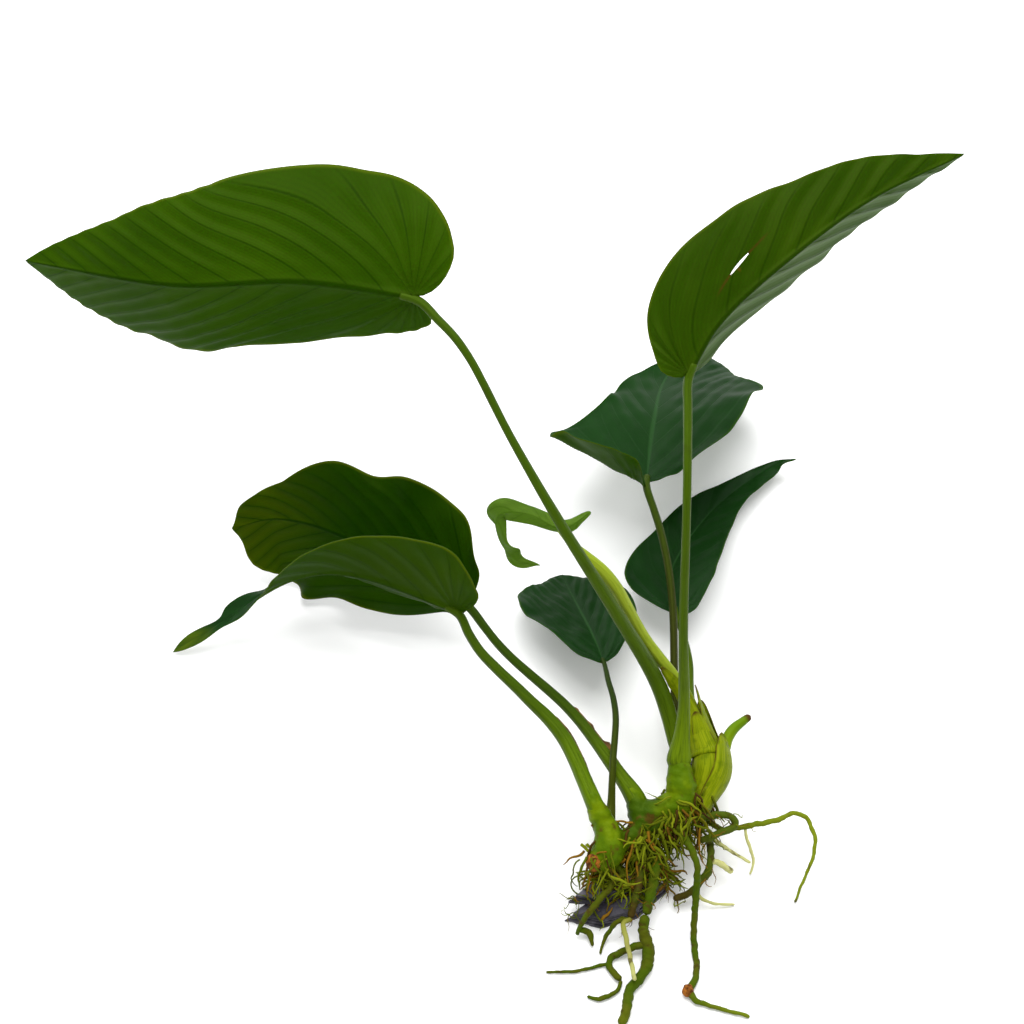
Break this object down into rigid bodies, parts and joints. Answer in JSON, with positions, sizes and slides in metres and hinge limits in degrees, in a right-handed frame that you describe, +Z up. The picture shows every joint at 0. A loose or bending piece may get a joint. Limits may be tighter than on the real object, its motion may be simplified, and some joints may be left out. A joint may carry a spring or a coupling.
{
  "type": "anubias on stone",
  "caption": "Loose broad-leaved water plant lying on its side, with long-stalked blades on a creeping rhizome whose roots grip broken slate",
  "frame": {"origin": "on the ground, under the middle of the plant's bounding box", "axes": "+Z up from the ground the plant lies on, +Y from the roots towards the leaf tips, +X across the plant to its right"},
  "size_m": [0.2254, 0.2046, 0.1174],
  "materials": {
    "leaf_upper_side": "gloss",
    "leaf_underside": "satin",
    "young_growth": "satin",
    "stalk": "satin",
    "root": "matte",
    "old_root": "matte",
    "pale_root": "matte",
    "dry_sheath": "matte",
    "slate": "matte"
  },
  "bodies": {
    "root": {"blade_back": "leaf_upper_side", "blade_front_left": "leaf_underside", "blade_narrow": "leaf_upper_side", "blade_rear_left": "leaf_underside", "blade_small": "leaf_upper_side", "blade_upper_left": "leaf_underside", "blade_upper_right": "leaf_underside", "blade_young": "young_growth", "stalk_back": "stalk", "stalk_front_left": "stalk", "stalk_narrow": "stalk", "stalk_rear_left": "stalk", "stalk_small": "stalk", "stalk_upper_left": "stalk", "stalk_upper_right": "stalk", "stalk_young": "young_growth", "rhizome_left": "stalk", "rhizome_middle": "stalk", "rhizome_right": "stalk", "growing_tip": "young_growth", "side_shoot": "young_growth", "slate_lower": "slate", "slate_upper": "slate", "root_centre": "root", "root_cream": "pale_root", "root_fine_right": "pale_root", "root_fork": "root", "root_fork_left": "root", "root_fork_low": "root", "root_front": "root", "root_hairpin": "old_root", "root_left": "root", "root_long_right": "root", "root_loop": "old_root", "root_over_stone_left": "root", "root_over_stone_middle": "old_root", "root_over_stone_right": "root", "root_pale_right": "pale_root", "root_right_spur": "pale_root", "root_stub_left": "root", "root_stub_right": "pale_root", "root_under_tip": "root", "dry_sheath_front": "dry_sheath", "dry_sheath_rear": "dry_sheath"}
  },
  "joints": []
}
